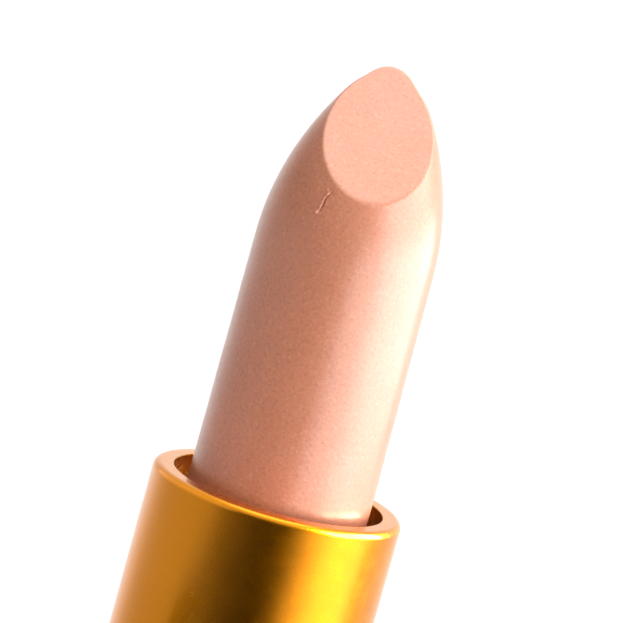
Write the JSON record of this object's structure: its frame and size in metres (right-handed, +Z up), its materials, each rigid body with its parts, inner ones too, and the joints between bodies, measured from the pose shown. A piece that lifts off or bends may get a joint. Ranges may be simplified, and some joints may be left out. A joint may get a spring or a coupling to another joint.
{
  "type": "lipstick case",
  "caption": "Twist-up lipstick in a satin gold aluminium case, with a slant-cut bullet fully extended and the cap standing beside it.",
  "frame": {"origin": "centre of the base's flat underside, which the case stands on", "axes": "+Z up along the case's axis; the lipstick's slanted cut faces -Y; the cap stands beside the case towards -X and -Y"},
  "size_m": [0.0464, 0.0464, 0.0863],
  "materials": {
    "gold_aluminium": "satin gold anodised",
    "lipstick_wax": "satin wax with a fine shimmer",
    "liner_plastic": "moulded, fine matt",
    "mechanism_plastic": "moulded, semi-gloss natural white",
    "cup_plastic": "moulded, semi-gloss",
    "steel": "zinc plated",
    "silicone": "soft, dull",
    "label_film": "printed film, blank"
  },
  "bodies": {
    "base": {"base_shell": "gold_aluminium", "shade_label": "label_film", "base_weight": "steel", "base_liner": "liner_plastic", "collar": "gold_aluminium", "inner_body": "mechanism_plastic", "drag_ring": "silicone"},
    "tube": {"tube_shell": "gold_aluminium", "spiral": "mechanism_plastic"},
    "carrier": {"bullet_cup": "cup_plastic", "bullet": "lipstick_wax"},
    "cap": {"cap_shell": "gold_aluminium", "cap_liner": "liner_plastic", "cap_weight": "steel"}
  },
  "joints": [
    {"name": "tube_turn", "type": "hinge", "parent": "base", "child": "tube", "pos_m": [0, 0, 0.03], "axis": [0, 0, 1], "range_deg": [-540, 0]},
    {"name": "bullet_slide", "type": "slide", "parent": "base", "child": "carrier", "axis": [0, 0, 1], "range_m": [-0.031, 0]},
    {"name": "cap_lift", "type": "slide", "parent": "base", "child": "cap", "axis": [0, 0, 1], "range_m": [0, 0.05]}
  ],
  "couplings": [
    {"joint": "bullet_slide", "follows": "tube_turn", "m_per_rad": 0.003289}
  ]
}
